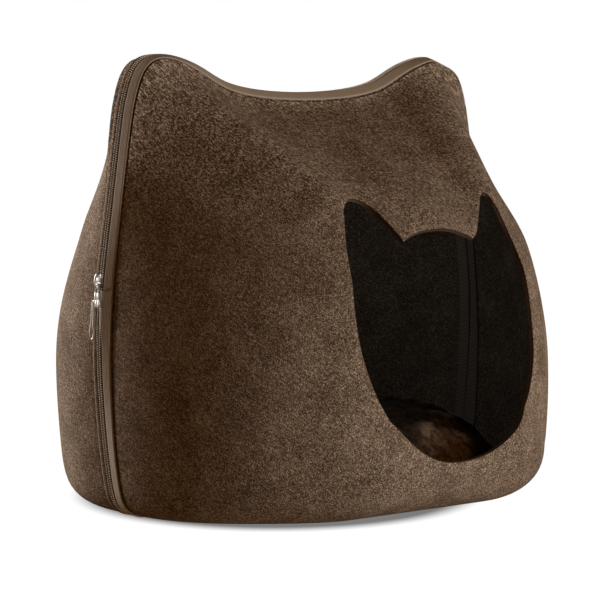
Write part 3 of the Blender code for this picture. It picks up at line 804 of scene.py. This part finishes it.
made = bmesh.new()
coil_line = over_floor(spaced(whole_loop(zip_half), PITCH))
for (x, z), (out_x, out_z) in zip(coil_line, outward(coil_line)):
    place = frame_on((x, ZIP_PLANE, z), TO_FRONT, Vector((out_x, 0, out_z)).normalized())
    for side in (-1, 1):
        shift = Matrix.Translation((side * BAR_ASIDE, side * PITCH * 0.25, BAR_HEIGHT))
        slant = Matrix.Rotation(BAR_SLANT * side, 4, "Z")
        bmesh.ops.create_cube(made, size=1, matrix=place @ shift @ slant @ Matrix.Diagonal((*BAR, 1)))
round_all(made, BAR_ROUNDING, 1)
add_piece("zip_coil", made, coil.material, "zip_tape", smooth_under=70)

# %% [markdown]
# ## Stitches inside
#
# Through the doorway the far side of the zip looks like a ladder with two columns of rungs: the stitches that
# hold each tape to the felt. They could be a pattern on the tape, but thread stands proud and catches light, so
# each rung is a thin bar.

# %% Rungs on the tapes
RUNG_PITCH, RUNG_WIDTH, RUNG_THICK, RUNG_SLANT = 0.0020, 0.0008, 0.0005, radians(4)
RUNG_START, RUNG_MARGIN, RUNG_SUNK = 0.0012, 0.0012, 0.0002
RUNG_LEAST = 0.0014  # where a rung ends on the narrowest tape
thread = Finish("sewing_thread", Roughness=0.7)
thread.set("Base Color", thread.blend(thread.noise(900, 2.0), (0.075, 0.055, 0.040, 1), (0.150, 0.114, 0.083, 1)))


def rungs(made, side):
    line = spaced(zip_line, RUNG_PITCH)
    stations = along_of(np.array([*zip_line, zip_line[0]]))
    reach = np.interp(along_of(line), stations, [*reaches[side], reaches[side][0]])
    near, height = RUNG_START - EDGE[side], TAPE_BOTTOM - RUNG_SUNK
    starts = rim_row(line, side, near, height)
    ends = rim_row(line, side, np.maximum(RUNG_LEAST, reach - RUNG_MARGIN), height)
    ups = rim_row(line, side, near, TAPE_BOTTOM) - starts
    for number, (start, end, up) in enumerate(zip(starts, ends, ups)):
        way = Vector(end - start)
        place = frame_on(Vector(start) + way / 2, way.normalized(), Vector(up).normalized())
        slant = Matrix.Rotation(RUNG_SLANT if number % 2 else -RUNG_SLANT, 4, "Z")
        shape = Matrix.Diagonal((way.length, RUNG_WIDTH, RUNG_THICK, 1))
        bmesh.ops.create_cube(made, size=1, matrix=place @ slant @ shape)


made = bmesh.new()
for side in (FRONT, BACK):
    rungs(made, side)
add_piece("ladder_stitches", made, thread.material, "zip_tape")

# %% [markdown]
# ## The slider and its pull
#
# The slider sits on the left side: a small dark plate with bright shoulders, and a bail that holds a ribbed clasp
# with a thin loop in it. At this size a finer model would not show, so rounded blocks are enough. They are metal,
# the only shiny things on the cave.

# %% Metals
def metal_finish(name, colour, wear_and_highlight, roughness, bare):
    """Plated metal; bare says how much of it is metal rather than matt plating."""
    metal = Finish(name, Metallic=bare)
    marks = metal.noise(1500, 3.0, 0.6)
    metal.set("Base Color", metal.blend(marks, wear_and_highlight, colour))
    metal.set("Roughness", marks.between(0.2, 0.8, roughness - 0.08, roughness + 0.12))
    metal.bump(marks, 0.00004, 0.3)
    return metal.material


steel = metal_finish("slider_steel", (0.10, 0.10, 0.10, 1), (0.05, 0.05, 0.05, 1), 0.34, 0.5)
silver = metal_finish("pull_silver", (0.62, 0.62, 0.63, 1), (0.28, 0.28, 0.28, 1), 0.28, 0.35)

# %% Where the slider sits
SLIDER_HEIGHT, HANG = 0.2150, 0.042


def on_the_left(height):
    reach = np.interp(height, zip_half[::-1, 1], zip_half[::-1, 0])
    return Vector((-float(reach), ZIP_PLANE, height))


slider_middle = on_the_left(SLIDER_HEIGHT)
slider_up = (slider_middle - on_the_left(SLIDER_HEIGHT - HANG)).normalized()
slider_place = frame_on(slider_middle, TO_FRONT, TO_FRONT.cross(slider_up))


def block(made, middle, size, taper=1.0):
    """A block in the slider's own frame; taper narrows its lower end."""
    shape = Matrix.Translation(middle) @ Matrix.Diagonal((*size, 1))
    for vert in bmesh.ops.create_cube(made, size=1, matrix=shape)["verts"]:
        if vert.co.y < middle[1]:
            vert.co.x = middle[0] + (vert.co.x - middle[0]) * taper


def blocks(name, parts, rounding, finish, slot, *replaced, segments=2):
    """A piece of rounded blocks on the zip. Each part is its middle, its size and, if it narrows, its taper."""
    made = bmesh.new()
    for part in parts:
        block(made, *part)
    round_all(made, rounding, segments)
    bmesh.ops.transform(made, matrix=slider_place, verts=made.verts[:])
    return add_piece(name, made, finish, slot, *replaced)


# %% Slider body
PLATE = [((0, 0.0002, 0.0026), (0.0090, 0.0112, 0.0013), 0.72)]
PLATE += [((x, 0.0008, 0.0019), (0.0009, 0.0085, 0.0020), 0.9) for x in (-0.0042, 0.0042)]
slider = blocks("slider", PLATE, 0.0003, steel, "slider_steel", "slider_body")

SHOULDERS = [((x, 0.0052, 0.0036), (0.0028, 0.0034, 0.0024)) for x in (-0.0036, 0.0036)]
SHOULDERS += [((0.0020, -0.0010, 0.0040), (0.0060, 0.0012, 0.0014))]
SHOULDERS += [((0, -0.0046, 0.0040), (0.0024, 0.0026, 0.0018))]
shoulders = blocks("slider_shoulders", SHOULDERS, 0.0006, silver, "slider_steel", segments=3)

# %% [markdown]
# ## Wires
#
# The bridge over the slider, the bail and the loop are bent wire. A ring could be spun, but these bend freely, so
# a curve with a round bevel is the shortest way. It becomes a mesh at the end, with its place in its points.

# %% Bridge, bail and loop
def wire(name, points, radius, finish, slot, *replaced, closed=True):
    curve = bpy.data.curves.new(name, "CURVE")
    curve.dimensions, curve.bevel_depth, curve.bevel_resolution = "3D", radius, 3
    curve.use_fill_caps = not closed
    line = curve.splines.new("NURBS")
    line.points.add(len(points) - 1)
    for point, place in zip(line.points, points):
        point.co = (*(slider_place @ Vector(place)), 1)
    line.use_cyclic_u, line.use_endpoint_u, line.order_u, line.resolution_u = closed, not closed, 3, 4
    bent = add_object(name + "_line", curve)
    bpy.context.view_layer.update()
    made = bmesh.new()
    made.from_mesh(bent.to_mesh())
    bpy.data.objects.remove(bent)
    bmesh.ops.remove_doubles(made, verts=made.verts[:], dist=1e-6)
    return add_piece(name, made, finish, slot, *replaced, smooth_under=60)


WIRE, BAIL_WIRE = 0.0008, 0.00065  # half of their thickness
BRIDGE_ASIDE = -0.0004
BRIDGE = ((0.0052, 0.0030), (0.0060, 0.0058), (0.0050, 0.0074), (0, 0.0080), (-0.0050, 0.0074), (-0.0060, 0.0050))
bridge = wire("bridge", [(BRIDGE_ASIDE, y, z) for y, z in BRIDGE], WIRE, silver, "slider_steel", closed=False)

BAIL_HEIGHT = 0.0050
BAIL = [(0.0017, -0.0104), (0.0022, -0.0096), (0.0022, -0.0060), (0.0019, -0.0032), (0.0008, -0.0022)]
bail_points = [(x, y, BAIL_HEIGHT) for x, y in BAIL + [(-x, y) for x, y in BAIL[::-1]]]
bail = wire("bail", bail_points, BAIL_WIRE, silver, "pull_silver", "slider_bail")

LOOP_TOP, LOOP_LENGTH, LOOP_NECK, LOOP_BELLY, LOOP_HEIGHT = -0.0172, 0.0345, 0.0014, 0.0034, 0.0064
LOOP_ASIDE, LOOP_DRIFT, LOOP_POINTS = -0.0036, 0.0014, 32
loop_points = []
for k in range(LOOP_POINTS):
    turn = 2 * pi * k / LOOP_POINTS
    drop = (1 - cos(turn)) / 2
    half = sin(turn) * (LOOP_NECK + LOOP_BELLY * ramp(drop, 0.55, 0.95))
    loop_points.append((half + LOOP_ASIDE + LOOP_DRIFT * drop, LOOP_TOP - LOOP_LENGTH * drop, LOOP_HEIGHT))
pull_loop = wire("loop", loop_points, WIRE, silver, "pull_silver", "pull_loop")

# %% Ribbed clasp
CLASP_ROUNDING = 0.0004
CLASP = [((x, -0.0132, 0.0046), (0.0022, 0.0068, 0.0030)) for x in (-0.0014, 0.0026)]
CLASP += [((x, -0.0194, 0.0048), (0.0021, 0.0068, 0.0036)) for x in (-0.0021, 0.0012, 0.0045)]
clasp = blocks("clasp", CLASP, CLASP_ROUNDING, silver, "pull_silver", "pull_clasp")

CLASP_HEART = [((0.0006, -0.0166, 0.0040), (0.0040, 0.0116, 0.0018))]
clasp_heart = blocks("clasp_heart", CLASP_HEART, CLASP_ROUNDING, steel, "pull_silver")

# The low light behind the cave would stretch the shadows of these small pieces over the whole band.
for small in (slider, shoulders, bridge, bail, pull_loop, clasp, clasp_heart):
    small.visible_shadow = False

# %% [markdown]
# ## The band's overlap
#
# The band's two ends meet under the slider, the lower one folded over the slot beside the coil and frayed at its
# corner. It could be cut from the band itself, but a small grid on top keeps the band one even strip.

# %% The lower end of the band
OVERLAP_TOP, OVERLAP_LOW, OVERLAP_THICK, CORNER_RISE = 0.2070, 0.1500, 0.0004, 0.0030
NEAR_EDGE, SLOT_COVER, FAR_EDGE = 0.0006, 0.0042, 0.0101
LYING, FOLD, DIP = 0.0014, 0.0005, 0.0009  # heights over the felt
BESIDE = 0.002


def side_place(height, across, lift):
    """A point over the front band on the left side."""
    line = np.array([[on_the_left(h).x, h] for h in (height - BESIDE, height, height + BESIDE)])
    out = outward(line, closed=False)[1]
    out = -out if out[0] > 0 else out
    tilt = float(lean(line[1:2], FRONT)[0])
    flat = line[1] - out * (across * sin(tilt) - lift / cos(tilt))
    return Vector((flat[0], ZIP_PLANE - EDGE[FRONT] - across * cos(tilt), flat[1]))


made = bmesh.new()
grid = bmesh.ops.create_grid(made, x_segments=12, y_segments=30, size=0.5)["verts"]
for vert in grid:
    share, up = vert.co.x + 0.5, vert.co.y + 0.5
    top = OVERLAP_TOP + CORNER_RISE * ramp(share, 0.5, 1.0)
    near = NEAR_EDGE - SLOT_COVER * ramp(up, 0.0, 0.85)
    across = near + (FAR_EDGE - near) * share
    lift = LYING + FOLD * ramp(up, 0.0, 0.6) - DIP * ramp(-across, 0.0, 0.0036)
    vert.co = side_place(OVERLAP_LOW + (top - OVERLAP_LOW) * up, across, lift)
bmesh.ops.solidify(made, geom=made.faces[:], thickness=OVERLAP_THICK)
marks = {name: made.verts.layers.float.new(name) for name in ("along", "across")}
for vert in made.verts:
    vert[marks["along"]], vert[marks["across"]] = vert.co.z, ZIP_PLANE - EDGE[FRONT] - vert.co.y
add_piece("band_end", made, band_cloth, "woven_band")

# %% Frayed threads, and a dark line of painted shadow over the fold
THREADS = ((0.0094, 0.70, 0.0042), (0.0088, 0.95, 0.0034), (0.0100, 0.55, 0.0034), (0.0104, 1.25, 0.0022))
FRAY_RISE, FRAY_LIFT, FRAY_ASIDE = 0.0018, 0.0022, -0.25
THREAD = {"cap_ends": True, "segments": 6, "radius1": 0.00026, "radius2": 0.00012}

made = bmesh.new()
for across, rise, length in THREADS:
    start = side_place(OVERLAP_TOP + FRAY_RISE, across, FRAY_LIFT)
    way = Vector((FRAY_ASIDE, -cos(rise), sin(rise))).normalized()
    turn = way.to_track_quat("Z", "Y").to_matrix().to_4x4()
    bmesh.ops.create_cone(made, depth=length, matrix=Matrix.Translation(start + way * length / 2) @ turn, **THREAD)
add_piece("frayed_threads", made, thread.material, "woven_band")

# A thin dark wire is painted shadow along the step where the band's end lies over the fold.
FOLD_SHADOW = ((-0.0028, 0.0006), (0.0030, 0.0012), (0.0062, 0.0022), (0.0098, 0.0036))
FOLD_SHADOW_LIFT, FOLD_SHADOW_WIDTH = 0.0021, 0.00035
fold_shadow_points = [slider_place.inverted() @ side_place(OVERLAP_TOP + rise, across, FOLD_SHADOW_LIFT) for across, rise in FOLD_SHADOW]
wire("painted_fold_shadow", fold_shadow_points, FOLD_SHADOW_WIDTH, shaded_web_cloth, "woven_band", closed=False)

# %% [markdown]
# ## The cushion
#
# A plush cushion fills the floor. Its cover is sewn flat and swells when it is filled, so Blender's cloth blows up
# a copy of the solid for a few frames, and a cap on each point's way keeps it clear of the felt. The pile could be
# hair, but little of it is seen, so it is a finish of short clumps that are also raised a little in the mesh. The
# pile is painted dark all over as shade, with two lighter patches of painted light where light falls in through
# the doorway.

# %% Plush finish
VIEW_TURN = (0, 0, radians(42))  # turns X to run across the photo
CLUMPS, PILE, CLUMP_RANGE = 75, 420, (0.35, 0.62)
PAINTED_LIGHT_PATCHES = (  # where each patch of painted light begins and ends across the view, then where it fades out in depth, and how bright it is
    ((0.096, 0.114), (0.143, 0.158), (-0.13, -0.10), 1.0),
    ((0.112, 0.122), (0.132, 0.142), (-0.08, -0.05), 0.3),
)


def plush_finish():
    plush = Finish("plush", Roughness=1.0, Specular_IOR_Level=0.0)
    clumps = plush.noise(CLUMPS, 4.0, 0.65, distortion=0.6)
    pile = plush.noise(PILE, 3.0, 0.6, plush.place((0.3, 0.2, 0.1), (1, 1, 0.5)))
    value = clumps * 0.65 + pile * 0.35
    across, depth = plush.axis(0, VIEW_TURN), plush.axis(1)
    patches = [
        across.between(*begin) * across.between(*end, 1.0, 0.0) * depth.between(*back, strength, 0.0)
        for begin, end, back, strength in PAINTED_LIGHT_PATCHES
    ]
    painted_light = plush.maths("MAXIMUM", *patches)
    clump = value.between(*CLUMP_RANGE)
    # The pile in painted shade, and the pile in painted light for the two patches.
    shaded_pile = plush.blend(clump, (0.008, 0.005, 0.0035, 1), (0.034, 0.023, 0.015, 1))
    lit_pile = plush.blend(clump, (0.050, 0.032, 0.020, 1), (0.30, 0.205, 0.140, 1))
    plush.set("Base Color", plush.blend(painted_light, shaded_pile, lit_pile))
    plush.bump(value, 0.004, 0.8)
    return plush.material


plush = plush_finish()

# %% Blow up the cushion
CUSHION_SHRINK, CUSHION_CAP, CUSHION_VOXEL = 0.985, 0.010, 0.006
CUSHION_MIDDLE = Vector((0, ZIP_PLANE, 0.042))
PRESSURE, SWELL_FRAMES = 4, 20


def apply_all(thing):
    """Keeps the mesh that the modifiers make, and takes the modifiers off."""
    evaluated = thing.evaluated_get(bpy.context.evaluated_depsgraph_get())
    mesh = bpy.data.meshes.new_from_object(evaluated)
    thing.modifiers.clear()
    thing.data = mesh


def blown_up(solid):
    """A copy of the solid's mesh after the cloth has swelled."""
    made = bmesh.new()
    made.from_mesh(solid.data)
    bmesh.ops.remove_doubles(made, verts=made.verts[:], dist=1e-5)
    for vert in made.verts:
        vert.co = CUSHION_MIDDLE + (vert.co - CUSHION_MIDDLE) * CUSHION_SHRINK
    cover = add_object("cushion_cover", mesh_of("cushion_cover", made))
    remesh = cover.modifiers.new("Remesh", "REMESH")
    remesh.mode, remesh.voxel_size = "VOXEL", CUSHION_VOXEL
    apply_all(cover)
    rest = np.array([v.co for v in cover.data.vertices])
    cloth = cover.modifiers.new("Cloth", "CLOTH")
    cloth.settings.use_pressure = True
    cloth.settings.uniform_pressure_force = PRESSURE
    cloth.settings.effector_weights.gravity = 0
    for number in range(1, SWELL_FRAMES + 1):
        scene.frame_set(number)
    apply_all(cover)
    scene.frame_set(1)
    moved = np.array([v.co for v in cover.data.vertices]) - rest
    far = np.linalg.norm(moved, axis=1)[:, None]
    moved *= np.minimum(1, CUSHION_CAP / np.maximum(far, 1e-9))
    return cover, rest + moved


# %% The filled cushion
LUMPS_FROM, LUMPS_FULL = 0.02, 0.04  # heights between which the lumps set in
CLUMP_SCALE, CLUMP_RISE, WAVE_SCALE, WAVE_RISE = 34, 0.0040, 9, 0.0060

cover, swelled = blown_up(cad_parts["cushion"])
floor_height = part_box("cushion")[0].z
for vert, place in zip(cover.data.vertices, swelled):
    vert.co = place
    vert.co.z = max(vert.co.z, floor_height)
made = bmesh.new()
made.from_mesh(cover.data)
bpy.data.objects.remove(cover)
bmesh.ops.smooth_vert(made, verts=made.verts[:], factor=0.5, use_axis_x=True, use_axis_y=True, use_axis_z=True)
bmesh.ops.subdivide_edges(made, edges=made.edges[:], cuts=1, use_grid_fill=True, smooth=1.0)
made.normal_update()
for vert in made.verts:
    upper = min(1, max(0, (vert.co.z - LUMPS_FROM) / (LUMPS_FULL - LUMPS_FROM)))
    lump = noise.fractal(vert.co * CLUMP_SCALE, 0.8, 2.1, 4) * CLUMP_RISE
    lump += noise.noise(vert.co * WAVE_SCALE) * WAVE_RISE
    vert.co += vert.normal * lump * upper
cushion = add_piece("plush_cushion", made, plush, "plush", "cushion", smooth_under=80)
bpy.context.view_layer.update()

# %% [markdown]
# ## What the soft pieces are
#
# Each felt shell is a sheet that was cut flat and pressed over a form, with its bands and tapes sewn on. The
# cushion is padded.

# %% [markdown]
# ## Studio
#
# A weak warm fill from all round, and two large soft boxes: one behind the cave on the left, and a low one in front
# on the right, so the felt that faces the camera stays the darkest. A faint bulb stands for the light that finds
# its way inside. The white floor could be lit too, but it would turn grey, so it glows, with a painted shadow that
# darkens it close to the cave, within an ellipse.

# %% Floor
FLOOR_SIZE, FLOOR_DROP, WHITE = 6, -0.0005, 1.03
SHADE_DISTANCE, SHADE_RANGE, SHADE_DARK = 0.065, (0.30, 0.88), 0.20
SHADE_MIDDLE, SHADE_SPREAD = (-0.030, 0.03), (0.213, 0.262)  # across the view and away
FADE_RANGE, FADE_DARK = (0.78, 0.96), 0.10

made = bmesh.new()
bmesh.ops.create_grid(made, x_segments=1, y_segments=1, size=FLOOR_SIZE)
floor = add_object("floor", mesh_of("floor", made))
floor.location.z = FLOOR_DROP
floor.visible_diffuse = floor.visible_glossy = floor.visible_shadow = False

paper = Finish("white_paper")
# Painted contact shadow: the glow darkens near the cave, and only within an ellipse.
shade = paper.node("AmbientOcclusion", {"Distance": SHADE_DISTANCE}, 1, samples=8)
across, away = ((paper.axis(n, VIEW_TURN) - SHADE_MIDDLE[n]) * (1 / SHADE_SPREAD[n]) for n in (0, 1))
reach = paper.maths("SQRT", across * across + away * away)
shade, fade = shade.between(*SHADE_RANGE, SHADE_DARK, WHITE), reach.between(*FADE_RANGE, FADE_DARK, WHITE)
light = paper.maths("MAXIMUM", shade, fade)
glow = paper.node("Emission", {"Color": (1, 1, 1, 1), "Strength": light})
paper.tree.links.new(glow.socket, paper.tree.nodes["Material Output"].inputs["Surface"])
floor.data.materials.append(paper.material)

# %% World and lights
scene.view_settings.view_transform = "Standard"
world = bpy.data.worlds.new("studio")
scene.world = world
world.use_nodes = True
sky = world.node_tree
fill, seen = sky.nodes["Background"], sky.nodes.new("ShaderNodeBackground")
for background, colour, strength in ((fill, (1.0, 0.56, 0.24, 1), 0.225), (seen, (1, 1, 1, 1), 1.0)):
    background.inputs["Color"].default_value = colour
    background.inputs["Strength"].default_value = strength
camera_ray = sky.nodes.new("ShaderNodeLightPath").outputs["Is Camera Ray"]
mix = sky.nodes.new("ShaderNodeMixShader")
for number, wire_end in enumerate((camera_ray, fill.outputs[0], seen.outputs[0])):
    sky.links.new(wire_end, mix.inputs[number])
sky.links.new(mix.outputs[0], sky.nodes["World Output"].inputs["Surface"])

AIM = Vector((0, 0, 0.18))
LIGHTS = (  # name, kind, size setting, size, place, power, colour
    ("right_box", "AREA", "size", 1.2, (0.95, -2.42, -0.02), 78, (1.0, 0.97, 0.93)),
    ("left_box", "AREA", "size", 1.2, (-0.72, 2.38, 0.86), 150, (1.0, 0.96, 0.92)),
    ("inside", "POINT", "shadow_soft_size", 0.05, (0, 0.02, 0.21), 0.27, (0.85, 0.95, 1.0)),
)
for name, kind, measure, size, place, power, colour in LIGHTS:
    light = bpy.data.lights.new(name, kind)
    setattr(light, measure, size)
    light.energy, light.color = power, colour
    lamp = add_object(name, light)
    lamp.location = place
    lamp.rotation_euler = (AIM - lamp.location).to_track_quat("-Z", "Y").to_euler()
